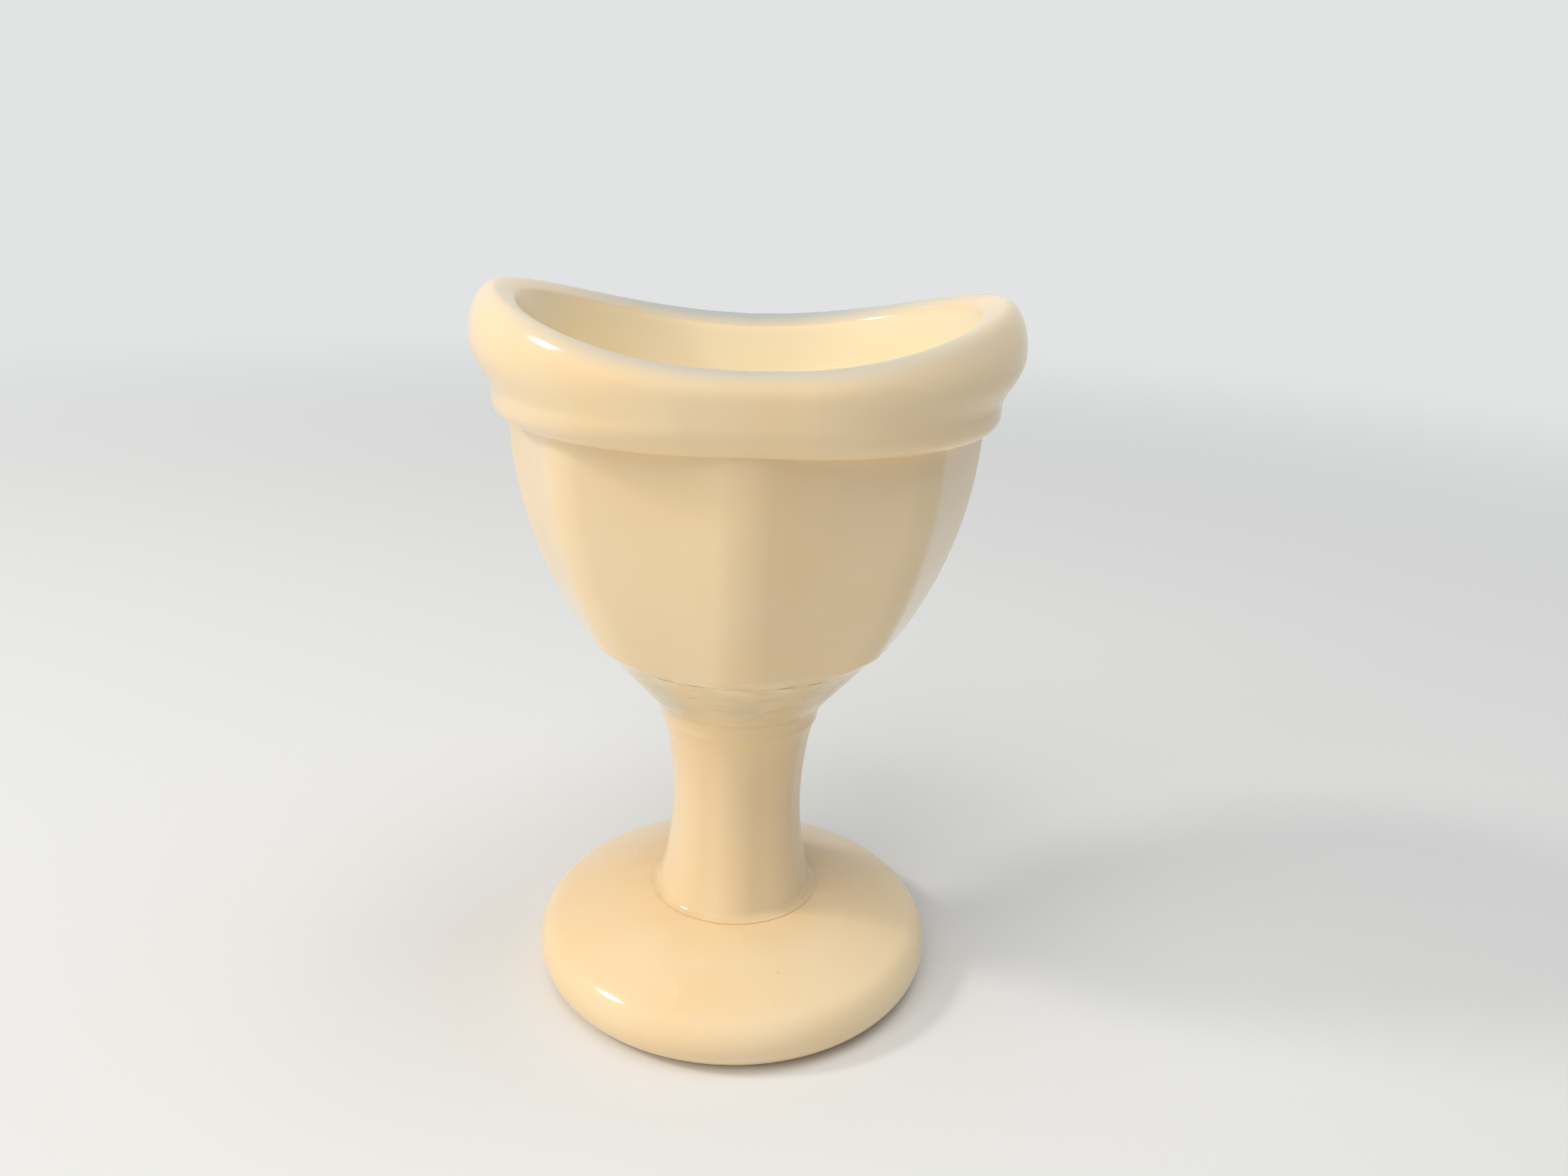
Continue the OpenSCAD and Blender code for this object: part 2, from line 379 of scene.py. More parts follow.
def mark_inside(piece, sizes):
    """Store how far each vertex lies inside the cup, for the painted glow that lightens the glass inside
    the cup.
    """
    middle = sizes.bowl_bottom + sizes.hollow_floor + sizes.hollow_radius
    values = []
    for v in piece.data.vertices:
        across = math.hypot(max(abs(v.co.x) - sizes.oval_offset, 0.0), v.co.y)
        deep = math.hypot(across, min(v.co.z - middle, 0.0))
        edge = wall_half_width(sizes, max(v.co.z, middle)) + 0.3 * MM
        if v.co.z > sizes.collar_top + CLEAR_OF:
            edge = sizes.lip_radius + 0.1 * MM
        values.append(min(max((edge - deep) / (0.2 * MM), 0.0), 1.0))
    piece.data.attributes.new("inside", "FLOAT", "POINT").data.foreach_set("value", values)


class EYEBATH_OT_foot(Operator):
    """Draw the foot's profile and spin it: flat underside, full rounded edge, gently domed top"""

    bl_idname = "eye_bath.foot"
    bl_label = "Foot"

    def execute(self, context):
        s = context.scene.eye_bath_sizes
        edge = (s.foot_radius - s.foot_round, s.foot_round)
        lip = edge[0] + s.foot_round * math.sin(s.foot_slope)
        dome = lip / math.sin(s.foot_slope)
        dome_centre = edge[1] + s.foot_round * math.cos(s.foot_slope) - dome * math.cos(s.foot_slope)
        seat = math.asin(math.sqrt(dome * dome - (s.foot_height - dome_centre) ** 2) / dome)
        points = [(0.0, 0.0), (edge[0] * 0.5, 0.0)]
        points += arc(edge, s.foot_round, -QUARTER, QUARTER - s.foot_slope, 28)
        points += arc((0.0, dome_centre), dome, QUARTER - s.foot_slope, QUARTER - seat, 14)[1:]
        points += [(0.0, s.foot_height)]
        draw_profile(points)
        lathe()
        hand_over("foot_section", "foot", opal_glass())
        return {"FINISHED"}


class EYEBATH_OT_stem(Operator):
    """Stack eight-sided rings up the waist, soften the ridges and fade them out at both ends"""

    bl_idname = "eye_bath.stem"
    bl_label = "Stem"

    def execute(self, context):
        s = context.scene.eye_bath_sizes
        tall = s.stem_top - s.foot_height
        to_top = tall - s.stem_waist_height
        bend = lead_radius(to_top, s.stem_flare)
        corner = 1.0 / math.cos(math.pi / PANELS)
        lows = [s.stem_fillet * part for part in (0.0, 0.06, 0.16, 0.3, 0.5, 0.72, 1.0)]
        highs = [s.stem_fillet + (tall - s.stem_fillet) * i / 22 for i in range(1, 23)]
        rings = []
        for h in lows + highs:
            away = h - s.stem_waist_height
            half = s.stem_waist + bend - math.sqrt(bend * bend - away * away)
            left = max(s.stem_fillet - h, 0.0)
            flare = s.stem_fillet - math.sqrt(s.stem_fillet**2 - left * left)
            rings.append((s.foot_height + h, half * corner + flare, half * corner + flare))
        panel_rings(rings, s.stem_ridge, 1)
        for ring, amount in zip(rings, (1.0, 1.0, 0.9, 0.75, 0.55, 0.35, 0.2)):
            round_ring(ring[0], amount)
        for ring, amount in zip(rings[-6:], (0.15, 0.32, 0.5, 0.7, 0.88, 1.0)):
            round_ring(ring[0], amount, s.neck_radius if amount == 1.0 else None)
        close_shell()
        hand_over("stem_section", "stem", opal_glass())
        return {"FINISHED"}


class EYEBATH_OT_neck(Operator):
    """Spin the neck: a short flared ring, a crease and a smooth cone up to the panels"""

    bl_idname = "eye_bath.neck"
    bl_label = "Neck"

    def execute(self, context):
        s = context.scene.eye_bath_sizes
        crease = s.stem_top + s.crease_height
        points = [(0.0, s.stem_top)]
        for t in (0.0, 0.25, 0.5, 0.75, 1.0):
            gain = (s.crease_radius - s.neck_radius) * t**1.6
            points.append((s.neck_radius + gain, s.stem_top + s.crease_height * t))
        for t in (0.1, 0.3, 0.55, 0.8, 1.0):
            gain = (s.cone_radius - s.crease_radius) * t
            points.append((s.crease_radius + gain, crease + (s.bowl_bottom - crease) * t))
        draw_profile(points + [(0.0, s.bowl_bottom)])
        lathe()
        hand_over("neck_section", "neck", opal_glass(), sharp=60.0)
        return {"FINISHED"}


class EYEBATH_OT_bowl(Operator):
    """Stack eight-sided oval rings for the panels, then sink a smooth hollow and bridge the two"""

    bl_idname = "eye_bath.bowl"
    bl_label = "Bowl"

    def execute(self, context):
        s = context.scene.eye_bath_sizes
        tall = s.bowl_top - s.bowl_bottom
        bend_length = lead_radius(tall, s.bowl_length - s.bowl_foot_length)
        bend_width = lead_radius(tall, s.bowl_width - s.bowl_foot_width)
        lows = [s.scallop * i / 14 for i in range(14)]
        rises = lows + [s.scallop + (tall - s.scallop) * i / 22 for i in range(23)]
        rings = []
        for h in rises:
            left = tall - h
            half_length = s.bowl_length - bend_length + math.sqrt(bend_length**2 - left**2)
            half_width = s.bowl_width - bend_width + math.sqrt(bend_width**2 - left**2)
            rings.append((s.bowl_bottom + h, half_length, half_width))
        panel_rings(rings, s.bowl_ridge, 3)
        for ring in rings[: len(lows)]:
            self.trim_ridges(ring[0], s.cone_radius + s.lap + SCALLOP_SPREAD * (ring[0] - s.bowl_bottom))
        bpy.ops.mesh.select_mode(type="FACE")
        mesh = edit_mesh()
        for face in mesh.faces:
            face.select_set(face.calc_center_median().z > s.bowl_top - CLEAR_OF)
        bmesh.update_edit_mesh(context.object.data)
        bpy.ops.mesh.delete(type="ONLY_FACE")
        bpy.ops.mesh.select_all(action="DESELECT")
        self.sink_hollow(s)
        close_shell()
        mark_inside(hand_over("bowl_section", "bowl", opal_glass(), sharp=50.0), s)
        return {"FINISHED"}

    def trim_ridges(self, height, limit):
        """Bring the part of a ring that reaches beyond a limit back to a circle of that radius."""
        pick(lambda co: abs(co.z - height) < SAME_RING and co.xy.length > limit)
        if picked():
            bpy.ops.transform.tosphere(value=1.0)
            reach = max(v.co.xy.length for v in edit_mesh().verts if v.select)
            stretch(limit / reach, limit / reach, (0.0, 0.0, height))

    def sink_hollow(self, s):
        """Extrude an oval ring down into a round bottom and bridge it to the bowl's top edge."""
        middle = s.bowl_bottom + s.hollow_floor + s.hollow_radius
        top_width = wall_half_width(s, s.bowl_top)
        lifted = s.bowl_top + s.hollow_floor
        oval_ring(s.oval_offset, top_width + s.oval_offset, top_width, lifted)
        height, width = lifted, top_width
        turn = QUARTER - s.hollow_slope
        for t in [s.hollow_slope + turn * i / 24 for i in range(24)]:
            next_height = middle - s.hollow_radius * math.sin(t)
            next_width = s.hollow_radius * math.cos(t)
            push((0.0, 0.0, next_height - height))
            stretch(next_width / width, next_width / width, (0.0, 0.0, next_height))
            height, width = next_height, next_width
        push((0.0, 0.0, middle - s.hollow_radius - height))
        bpy.ops.mesh.merge(type="CENTER")
        bpy.ops.mesh.select_all(action="DESELECT")
        bpy.ops.mesh.select_mode(type="EDGE")
        bpy.ops.mesh.select_non_manifold()
        bpy.ops.mesh.bridge_edge_loops()
        pick(lambda co: co.z > s.bowl_top + 0.5 * s.hollow_floor)
        bpy.ops.transform.translate(value=(0.0, 0.0, s.bowl_top - lifted), orient_type="GLOBAL")


class EYEBATH_OT_collar(Operator):
    """Carry an oval ring round the collar: a bead at the ends that runs smooth at the front and back"""

    bl_idname = "eye_bath.collar"
    bl_label = "Collar"

    def execute(self, context):
        s = context.scene.eye_bath_sizes
        seam_length = s.oval_offset + s.crest_radius + s.end_seam
        seam_width = s.crest_radius + s.front_seam
        last = math.radians(75.0)
        tall = s.collar_top - s.bowl_top
        above = tall - s.collar_round * math.sin(last)
        points = [(above * i / 4, 0.0) for i in range(4)]
        for t in [last * i / 12 for i in range(13)]:
            points.append((above + s.collar_round * math.sin(t), s.collar_round * (1.0 - math.cos(t))))
        rings = []
        for depth, turned_in in points:
            lean = s.front_lean * depth * depth / tall
            half_width = seam_width - lean - 0.25 * turned_in
            rings.append((s.collar_top - depth, seam_length - turned_in, half_width))
        inside = [(h, wall_half_width(s, h)) for h in (s.bowl_top, s.collar_top)]
        rings += [(h, w + s.oval_offset, w) for h, w in inside]
        oval_sweep(s.oval_offset, rings)
        mark_inside(hand_over("collar_section", "collar", opal_glass(), sharp=50.0), s)
        return {"FINISHED"}


class EYEBATH_OT_rim(Operator):
    """Carry an oval ring round the rolled rim, then lift the two horns into a saddle"""

    bl_idname = "eye_bath.rim"
    bl_label = "Rim"

    def execute(self, context):
        s = context.scene.eye_bath_sizes
        rings = self.section(s)
        oval_sweep(s.oval_offset, rings)
        bpy.ops.object.mode_set(mode="OBJECT")
        self.lift_horns(context.object, s, rings)
        mark_inside(hand_over("rim_section", "rim", opal_glass(), sharp=50.0), s)
        return {"FINISHED"}

    def section(self, s):
        """Rings of the roll, from the seam over the crest, down to the inner lip and down the wall."""
        tall = s.dip_height / 2.0
        count = 28
        rings = []
        for part in [i / count for i in range(count + 1)]:
            horn, level = self.roll_point(s.horn_bulge, s.end_seam, tall, part)
            front, _ = self.roll_point(s.front_bulge, s.front_seam, tall, part)
            half_width = s.crest_radius + front
            rings.append((s.collar_top + level, s.oval_offset + s.crest_radius + horn, half_width))
        for radius, height in self.lip_points(s):
            rings.append((height, s.oval_offset + radius, radius))
        return rings

    def roll_point(self, bulge, seam, tall, part):
        """Point of the roll, in a soft S from the seam out to the bulge and then over to the crest."""
        if part < 0.5:
            swing = (1.0 - math.cos(math.pi * (2.0 * part) ** 0.8)) / 2.0
            return seam + (bulge - seam) * swing, 2.0 * tall * part
        turn = math.pi * (part - 0.5)
        return CREST_CORE + (bulge - CREST_CORE) * math.cos(turn), tall + tall * math.sin(turn)

    def lip_points(self, s):
        """Radius and height of points down a bowed shoulder, round the lip and down the wall."""
        crest = s.crest_radius + CREST_CORE
        top = s.collar_top + s.dip_height
        parts = [i / 10 for i in range(1, 9)]
        shoulder = [(crest + (s.lip_radius - crest) * t, top - s.lip_drop * t**1.4) for t in parts]
        edge = Vector((s.lip_radius, top - s.lip_drop))
        foot = Vector((wall_half_width(s, s.collar_top), s.collar_top))
        first = Vector(shoulder[-1])
        last = edge + (foot - edge).normalized() * s.lip_round
        turns = [i / 6 for i in range(1, 7)]
        bend = [(1.0 - t) ** 2 * first + 2.0 * t * (1.0 - t) * edge + t * t * last for t in turns]
        wall = [last + (foot - last) * i / 4 for i in range(1, 5)]
        return shoulder + [tuple(point) for point in bend + wall]

    def lift_horns(self, piece, s, rings):
        """Lift each vertex by the square of its place along the rim and by its height in the roll."""
        lift = piece.vertex_groups.new(name="lift")
        thin = []
        for v in piece.data.vertices:
            ring = min(rings, key=lambda r: abs(r[0] - v.co.z) + abs(self.reach(s, r, v.co)))
            along = min(abs(v.co.x) / ring[1], 1.0) ** 2
            up = (v.co.z - s.collar_top) / s.dip_height
            inner = ring[2] < s.crest_radius + CREST_CORE - CLEAR_OF and up > 0.0
            shared = min(up * s.dip_height / (s.dip_height - s.lip_drop), 1.0) if inner else up
            lift.add([v.index], max(along * shared, 0.0), "REPLACE")
            crest = max((up - 0.72) / 0.28, 0.0)
            fade = 0.5 if inner else 1.4
            share = 0.95 if v.co.y > 0.0 else 0.7
            thin.append(share * crest**fade * (1.0 - along) ** 0.7)
        piece.data.attributes.new("thin_edge", "FLOAT", "POINT").data.foreach_set("value", thin)
        displace = piece.modifiers.new("Saddle", "DISPLACE")
        displace.direction = "Z"
        displace.mid_level = 0.0
        displace.strength = s.horn_rise
        displace.vertex_group = "lift"
        bpy.ops.object.modifier_apply(modifier="Saddle")

    def reach(self, s, ring, co):
        """How far a point lies outside an oval ring, roughly."""
        x = max(abs(co.x) - s.oval_offset, 0.0) / (ring[1] - s.oval_offset)
        y = abs(co.y) / ring[2]
        return (math.hypot(x, y) - 1.0) * ring[2]


def node_group(name, inputs, outputs):
    """A new shader node group with its sockets, and its input and output nodes."""
    group = bpy.data.node_groups.new(name, "ShaderNodeTree")
    for label, kind in inputs:
        group.interface.new_socket(name=label, in_out="INPUT", socket_type=kind)
    for label, kind in outputs:
        group.interface.new_socket(name=label, in_out="OUTPUT", socket_type=kind)
    return group, group.nodes.new("NodeGroupInput"), group.nodes.new("NodeGroupOutput")


def add_noise(tree, vector, scale, detail=2.0, roughness=0.5):
    """A noise texture on a vector."""
    noise = tree.nodes.new("ShaderNodeTexNoise")
    noise.inputs["Scale"].default_value = scale
    noise.inputs["Detail"].default_value = detail
    noise.inputs["Roughness"].default_value = roughness
    tree.links.new(vector, noise.inputs["Vector"])
    return noise.outputs["Fac"]


def add_range(tree, value, low, high, out_low=0.0, out_high=1.0):
    """A smooth step of a value between two limits."""
    step = tree.nodes.new("ShaderNodeMapRange")
    step.interpolation_type = "SMOOTHSTEP"
    step.inputs["From Min"].default_value = low
    step.inputs["From Max"].default_value = high
    step.inputs["To Min"].default_value = out_low
    step.inputs["To Max"].default_value = out_high
    tree.links.new(value, step.inputs["Value"])
    return step.outputs["Result"]


def add_math(tree, operation, first, second):
    """A sum of two values, each a socket or a number."""
    node = tree.nodes.new("ShaderNodeMath")
    node.operation = operation
    for socket, value in zip(node.inputs, (first, second)):
        if isinstance(value, (int, float)):
            socket.default_value = value
        else:
            tree.links.new(value, socket)
    return node.outputs["Value"]


def add_mix(tree, factor, first, second):
    """A mix of two colours, each a socket or a colour."""
    mix = tree.nodes.new("ShaderNodeMix")
    mix.data_type = "RGBA"
    tree.links.new(factor, mix.inputs["Factor"])
    for socket, value in ((mix.inputs["A"], first), (mix.inputs["B"], second)):
        if isinstance(value, tuple):
            socket.default_value = (*value, 1.0)
        else:
            tree.links.new(value, socket)
    return mix.outputs["Result"]


def add_stretch(tree, vector, turn, scale):
    """A mapping that turns and stretches a vector."""
    mapping = tree.nodes.new("ShaderNodeMapping")
    mapping.inputs["Rotation"].default_value = turn
    mapping.inputs["Scale"].default_value = scale
    tree.links.new(vector, mapping.inputs["Vector"])
    return mapping.outputs["Vector"]


def scratch_group():
    """Fine scratches: two sets of long thin noise, each broken into short runs."""
    group, entry, leave = node_group(
        "Fine scratches", [("Vector", "NodeSocketVector")], [("Mask", "NodeSocketFloat")]
    )
    place = entry.outputs["Vector"]
    masks = []
    for turn, scale, spacing in (
        ((0.2, 0.1, 0.5), (2600.0, 60.0, 900.0), 178.0),
        ((0.5, -0.3, -0.7), (70.0, 2400.0, 800.0), 190.0),
    ):
        drawn_out = add_stretch(group, place, turn, scale)
        line = add_range(group, add_noise(group, drawn_out, 1.0, 1.0), 0.70, 0.76)
        run = add_range(group, add_noise(group, place, spacing), 0.55, 0.68)
        masks.append(add_math(group, "MULTIPLY", line, run))
    group.links.new(add_math(group, "MAXIMUM", *masks), leave.inputs["Mask"])
    return group


def speck_group():
    """Sparse small specks in the glass."""
    group, entry, leave = node_group(
        "Specks", [("Vector", "NodeSocketVector")], [("Mask", "NodeSocketFloat")]
    )
    cells = group.nodes.new("ShaderNodeTexVoronoi")
    cells.inputs["Scale"].default_value = 210.0
    cells.inputs["Randomness"].default_value = 1.0
    group.links.new(entry.outputs["Vector"], cells.inputs["Vector"])
    dot = add_range(group, cells.outputs["Distance"], 0.045, 0.02)
    parts = group.nodes.new("ShaderNodeSeparateColor")
    group.links.new(cells.outputs["Color"], parts.inputs["Color"])
    rare = add_range(group, parts.outputs["Red"], 0.80, 0.84)
    group.links.new(add_math(group, "MULTIPLY", dot, rare), leave.inputs["Mask"])
    return group


def band_offset(group, entry):
    """How far a point lies above or below the band's height, as a share of the band's reach."""
    parts = group.nodes.new("ShaderNodeSeparateXYZ")
    group.links.new(entry.outputs["Vector"], parts.inputs["Vector"])
    rise = add_math(group, "SUBTRACT", parts.outputs["Z"], entry.outputs["Height"])
    return add_math(group, "DIVIDE", add_math(group, "ABSOLUTE", rise, 0.0), entry.outputs["Reach"])


BAND_SOCKETS = [("Vector", "NodeSocketVector"), ("Height", "NodeSocketFloat"), ("Reach", "NodeSocketFloat")]


def band_group():
    """A soft band at a given height, broken by noise."""
    group, entry, leave = node_group("Height band", BAND_SOCKETS, [("Mask", "NodeSocketFloat")])
    band = add_range(group, band_offset(group, entry), 1.0, 0.0)
    patch = add_range(group, add_noise(group, entry.outputs["Vector"], 260.0, 3.0), 0.3, 0.7, 0.35, 1.0)
    group.links.new(add_math(group, "MULTIPLY", band, patch), leave.inputs["Mask"])
    return group


def wrinkle_group():
    """Chill wrinkles: fine wavy folds in a band at a given height."""
    group, entry, leave = node_group("Chill wrinkles", BAND_SOCKETS, [("Mask", "NodeSocketFloat")])
    band = add_range(group, band_offset(group, entry), 1.0, 0.2)
    flat = add_stretch(group, entry.outputs["Vector"], (0.0, 0.0, 0.0), (1.0, 1.0, 2.6))
    folds = add_range(group, add_noise(group, flat, 420.0, 3.0), 0.35, 0.65)
    group.links.new(add_math(group, "MULTIPLY", band, folds), leave.inputs["Mask"])
    return group


def use_group(tree, group, vector, **values):
    """Place a node group on a vector, with its other inputs set by name."""
    node = tree.nodes.new("ShaderNodeGroup")
    node.node_tree = bpy.data.node_groups[group]
    tree.links.new(vector, node.inputs["Vector"])
    for label, value in values.items():
        node.inputs[label].default_value = value
    return node.outputs["Mask"]


def add_bump(tree, height, strength, distance, below=None):
    """A bump of a height, laid over the normal below it."""
    bump = tree.nodes.new("ShaderNodeBump")
    bump.inputs["Strength"].default_value = strength
    bump.inputs["Distance"].default_value = distance
    tree.links.new(height, bump.inputs["Height"])
    if below is not None:
        tree.links.new(below, bump.inputs["Normal"])
    return bump


def add_attribute(tree, name):
    """A value that is stored on the vertices."""
    attribute = tree.nodes.new("ShaderNodeAttribute")
    attribute.attribute_name = name
    return attribute.outputs["Fac"]


def chill_height(s):
    """Middle of the chilled band, between the crease and the panels."""
    return (s.stem_top + s.crease_height + s.bowl_bottom) / 2.0


def glass_colour(tree, place, s, finish):
    """Milky body with a faint mottle, a painted glow inside the cup, a cloudy neck partly painted as shade,
    a pale fringe partly painted as light, blue thin edge, old dirt and painted shade in the creases.
    """
    mottle = add_range(tree, add_noise(tree, place, 55.0, 3.0, 0.55), 0.35, 0.68)
    body = add_mix(tree, mottle, tuple(finish.body), tuple(finish.pale))
    # Painted glow: the glass inside the cup is mixed toward the paler hollow colour.
    glow_inside = add_mix(tree, add_attribute(tree, "inside"), body, tuple(finish.hollow))

    crease_height = s.stem_top + s.crease_height
    # Partly painted shade: the cloudy band darkens and cools the neck under the bowl as well as tinting the
    # chilled glass.
    cloud_and_shade = use_group(tree, "Height band", place, Height=chill_height(s), Reach=4.4 * MM)
    cloud_shaded = add_mix(tree, add_math(tree, "MULTIPLY", cloud_and_shade, 0.85), glow_inside, tuple(finish.cloud_and_shade))
    # Partly painted light: the pale wavy fringe at the panels' lower edge is real, and it also lightens the
    # shadow line under the panels' lap.
    fringe = use_group(tree, "Chill wrinkles", place, Height=s.bowl_bottom, Reach=1.3 * MM)
    fringed = add_mix(tree, add_math(tree, "MULTIPLY", fringe, 0.7), cloud_shaded, tuple(finish.hollow))
    edge = add_math(tree, "MULTIPLY", add_attribute(tree, "thin_edge"), 0.9)
    milky = add_mix(tree, edge, fringed, tuple(finish.thin))

    # Painted shade: the dark colour in thin bands at the neck crease and at the stem's fillet stands in for
    # shade in these creases.
    crease = use_group(tree, "Height band", place, Height=crease_height, Reach=0.35 * MM)
    fillet = use_group(tree, "Height band", place, Height=s.foot_height + 0.1 * MM, Reach=0.3 * MM)
    smudge = use_group(tree, "Height band", place, Height=s.foot_height, Reach=1.2 * MM)
    filmed = add_mix(tree, add_math(tree, "MULTIPLY", smudge, 0.22), milky, tuple(finish.film))
    in_crease = add_math(tree, "MULTIPLY", crease, 0.13)
    crease_shade = add_math(tree, "MAXIMUM", in_crease, add_math(tree, "MULTIPLY", fillet, 0.08))
    specks = add_math(tree, "MULTIPLY", use_group(tree, "Specks", place), 0.35)
    # Painted shade in the creases and real dirt specks, laid on together.
    dirt = add_math(tree, "MAXIMUM", crease_shade, specks)
    return add_mix(tree, dirt, filmed, tuple(finish.specks_and_crease_shade))


def opal_glass():
    """The one finish of the glass, made once and shared by every section."""
    made = bpy.data.materials.get("milky_glass")
    if made:
        return made
    scratch_group()
    speck_group()
    band_group()
    wrinkle_group()
    s = bpy.context.scene.eye_bath_sizes
    material = bpy.data.materials.new("milky_glass")
    material.use_nodes = True
    tree = material.node_tree
    shader = tree.nodes["Principled BSDF"]
    place = tree.nodes.new("ShaderNodeTexCoord").outputs["Object"]
    colour_out = glass_colour(tree, place, s, bpy.context.scene.eye_bath_finish)
    tree.links.new(colour_out, shader.inputs["Base Color"])

    scratches = use_group(tree, "Fine scratches", place)
    smear = add_range(tree, add_noise(tree, place, 120.0, 4.0, 0.6), 0.3, 0.75, 0.10, 0.19)
    rough = add_math(tree, "ADD", smear, add_math(tree, "MULTIPLY", scratches, 0.2))
    tree.links.new(rough, shader.inputs["Roughness"])

    ripple = add_bump(tree, add_noise(tree, place, 95.0, 1.0), 0.25, 0.4 * MM)
    wrinkles = use_group(tree, "Chill wrinkles", place, Height=chill_height(s), Reach=2.4 * MM)
    folds = add_bump(tree, wrinkles, 0.4, 0.2 * MM, ripple.outputs["Normal"])
    cuts = add_bump(tree, scratches, 0.25, 0.02 * MM, folds.outputs["Normal"])
    cuts.invert = True
    tree.links.new(cuts.outputs["Normal"], shader.inputs["Normal"])

    shader.inputs["IOR"].default_value = 1.5
    shader.inputs["Coat Weight"].default_value = 0.1
    shader.inputs["Coat Roughness"].default_value = 0.05
    return material


def seen_backdrop(tree):
    """One for rays that show the backdrop, from the camera or by way of a gloss, and nought for light."""
    path = tree.nodes.new("ShaderNodeLightPath")
    shown = add_math(tree, "MAXIMUM", path.outputs["Is Camera Ray"], path.outputs["Is Glossy Ray"])
    return add_math(tree, "MAXIMUM", shown, path.outputs["Is Transmission Ray"])


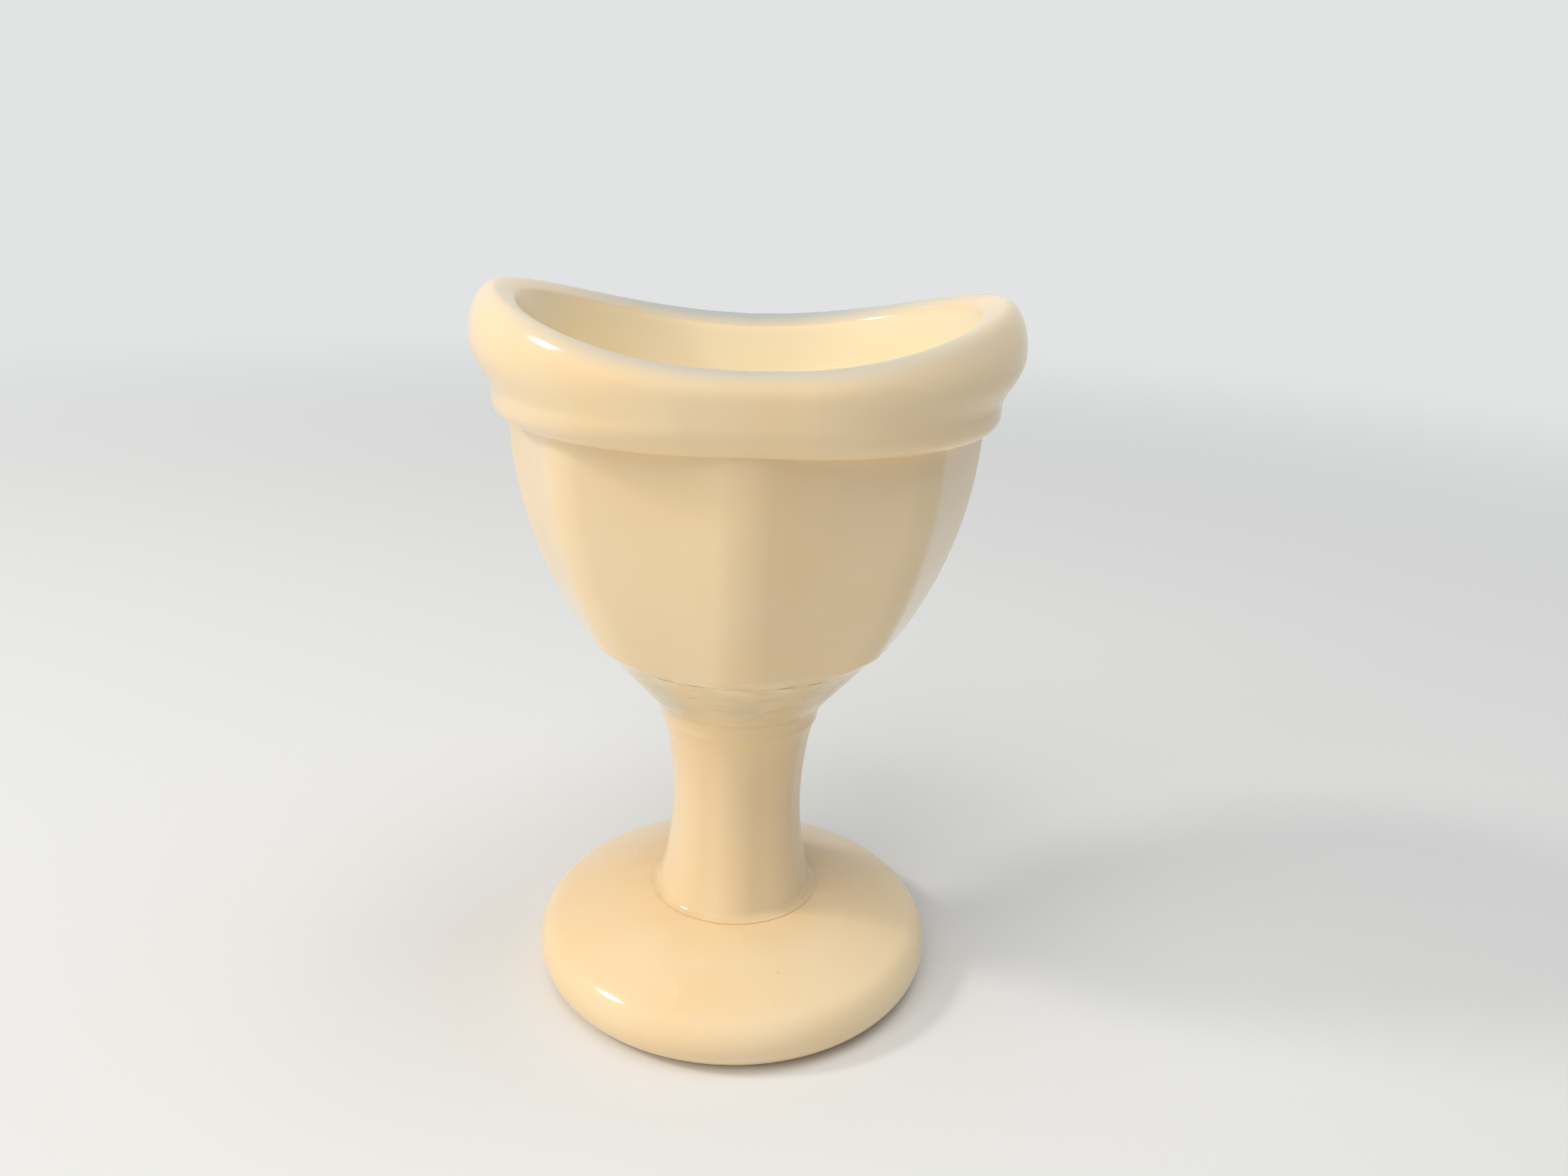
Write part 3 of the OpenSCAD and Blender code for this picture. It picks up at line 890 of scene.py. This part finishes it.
class EYEBATH_OT_stage(Operator):
    """Lay a pale floor, set soft light and a pale backdrop, and place the camera"""

    bl_idname = "eye_bath.stage"
    bl_label = "Stage"

    def execute(self, context):
        stage = context.scene.eye_bath_stage
        self.lay_floor(stage)
        self.set_light(context, stage)
        self.place_camera(context, stage)
        context.scene.view_settings.view_transform = "Standard"
        return {"FINISHED"}

    def lay_floor(self, stage):
        """A wide plane that keeps the shadow of the glass and runs into the pale backdrop far away."""
        start()
        bpy.ops.mesh.primitive_plane_add(size=8.0)
        floor = bpy.context.object
        floor.name = "floor"
        paint = bpy.data.materials.new("pale_floor")
        paint.use_nodes = True
        tree = paint.node_tree
        shader = tree.nodes["Principled BSDF"]
        shader.inputs["Base Color"].default_value = (*stage.floor, 1.0)
        shader.inputs["Roughness"].default_value = 0.85
        glow = tree.nodes.new("ShaderNodeEmission")
        glow.inputs["Color"].default_value = (*stage.backdrop, 1.0)
        away = tree.nodes.new("ShaderNodeVectorMath")
        away.operation = "LENGTH"
        tree.links.new(tree.nodes.new("ShaderNodeTexCoord").outputs["Object"], away.inputs[0])
        far = add_range(tree, away.outputs["Value"], 0.10, 0.45)
        blend = tree.nodes.new("ShaderNodeMixShader")
        tree.links.new(add_math(tree, "MULTIPLY", far, seen_backdrop(tree)), blend.inputs["Fac"])
        tree.links.new(shader.outputs["BSDF"], blend.inputs[1])
        tree.links.new(glow.outputs["Emission"], blend.inputs[2])
        tree.links.new(blend.outputs["Shader"], tree.nodes["Material Output"].inputs["Surface"])
        floor.data.materials.append(paint)

    def set_light(self, context, stage):
        """A small key on the left, broad lamps in front, above and at the sides, and a pale world."""
        warm, cool = (1.0, 0.95, 0.88), (0.88, 0.95, 1.0)
        for name, power, size, tint, place in (
            ("key_light", stage.key_power, 0.09, warm, (-0.46, -0.06, 0.415)),
            ("soft_box", stage.box_power, 0.50, warm, (-0.22, -0.36, 0.60)),
            ("top_light", stage.top_power, 0.50, warm, (0.0, -0.05, 0.70)),
            ("side_light", stage.side_power, 0.40, warm, (-0.55, -0.25, 0.25)),
            ("fill_light", stage.fill_power, 0.40, cool, (0.27, 0.0, 0.60)),
        ):
            bpy.ops.object.light_add(type="AREA", location=place)
            lamp = context.object
            lamp.name = name
            lamp.data.energy = power
            lamp.data.size = size
            lamp.data.color = tint
            lamp.visible_glossy = name == "key_light"
            aim = Vector((0.0, 0.0, 0.035)) - Vector(place)
            lamp.rotation_euler = aim.to_track_quat("-Z", "Y").to_euler()
        world = bpy.data.worlds.new("pale_world")
        context.scene.world = world
        world.use_nodes = True
        tree = world.node_tree
        sky = tree.nodes["Background"]
        seen = seen_backdrop(tree)
        tint = add_mix(tree, seen, tuple(stage.sky_tint), tuple(stage.backdrop))
        tree.links.new(tint, sky.inputs["Color"])
        strength = add_range(tree, seen, 0.0, 1.0, stage.sky_strength, 1.0)
        tree.links.new(strength, sky.inputs["Strength"])

    def place_camera(self, context, stage):
        """The camera of the photograph: near, above the rim and slightly rolled."""
        pitch, yaw, roll = stage.camera_pitch, stage.camera_yaw, stage.camera_roll
        ahead = Vector((math.sin(yaw) * math.cos(pitch), math.cos(yaw) * math.cos(pitch), -math.sin(pitch)))
        level = Vector((math.cos(yaw), -math.sin(yaw), 0.0))
        upright = level.cross(ahead)
        right = math.cos(roll) * level + math.sin(roll) * upright
        up = math.cos(roll) * upright - math.sin(roll) * level
        turn = Matrix((right, up, -ahead)).transposed().to_4x4()
        bpy.ops.object.camera_add()
        camera = context.object
        camera.name = "photo_camera"
        camera.matrix_world = Matrix.Translation((0.0, -stage.camera_distance, stage.camera_height)) @ turn
        camera.data.sensor_fit = "HORIZONTAL"
        camera.data.sensor_width = 36.0
        camera.data.lens = stage.camera_focus
        camera.data.clip_start = 0.005
        context.scene.camera = camera


class EYEBATH_PT_sidebar(Panel):
    """Sizes, colours and the sections in the order they are made"""

    bl_label = "Eye Bath"
    bl_idname = "EYEBATH_PT_sidebar"
    bl_space_type = "VIEW_3D"
    bl_region_type = "UI"
    bl_category = "Eye Bath"

    def draw(self, context):
        scene = context.scene
        for group in (scene.eye_bath_sizes, scene.eye_bath_finish, scene.eye_bath_stage):
            column = self.layout.column(align=True)
            for name in group.__annotations__:
                column.prop(group, name)
        for operator in SECTIONS:
            self.layout.operator(operator.bl_idname)


SECTIONS = (
    EYEBATH_OT_foot,
    EYEBATH_OT_stem,
    EYEBATH_OT_neck,
    EYEBATH_OT_bowl,
    EYEBATH_OT_collar,
    EYEBATH_OT_rim,
    EYEBATH_OT_stage,
)
CLASSES = (EyeBathSizes, EyeBathFinish, EyeBathStage, *SECTIONS, EYEBATH_PT_sidebar)


def register():
    """Register the classes and hang the settings on the scene."""
    for cls in CLASSES:
        bpy.utils.register_class(cls)
    bpy.types.Scene.eye_bath_sizes = PointerProperty(type=EyeBathSizes)
    bpy.types.Scene.eye_bath_finish = PointerProperty(type=EyeBathFinish)
    bpy.types.Scene.eye_bath_stage = PointerProperty(type=EyeBathStage)


def unregister():
    """Take the settings and the classes away again."""
    del bpy.types.Scene.eye_bath_stage
    del bpy.types.Scene.eye_bath_finish
    del bpy.types.Scene.eye_bath_sizes
    for cls in reversed(CLASSES):
        bpy.utils.unregister_class(cls)


def main():
    """Make every section in order, then set the stage."""
    register()
    bpy.ops.eye_bath.foot()
    bpy.ops.eye_bath.stem()
    bpy.ops.eye_bath.neck()
    bpy.ops.eye_bath.bowl()
    bpy.ops.eye_bath.collar()
    bpy.ops.eye_bath.rim()
    bpy.ops.eye_bath.stage()


if __name__ == "__main__":
    main()
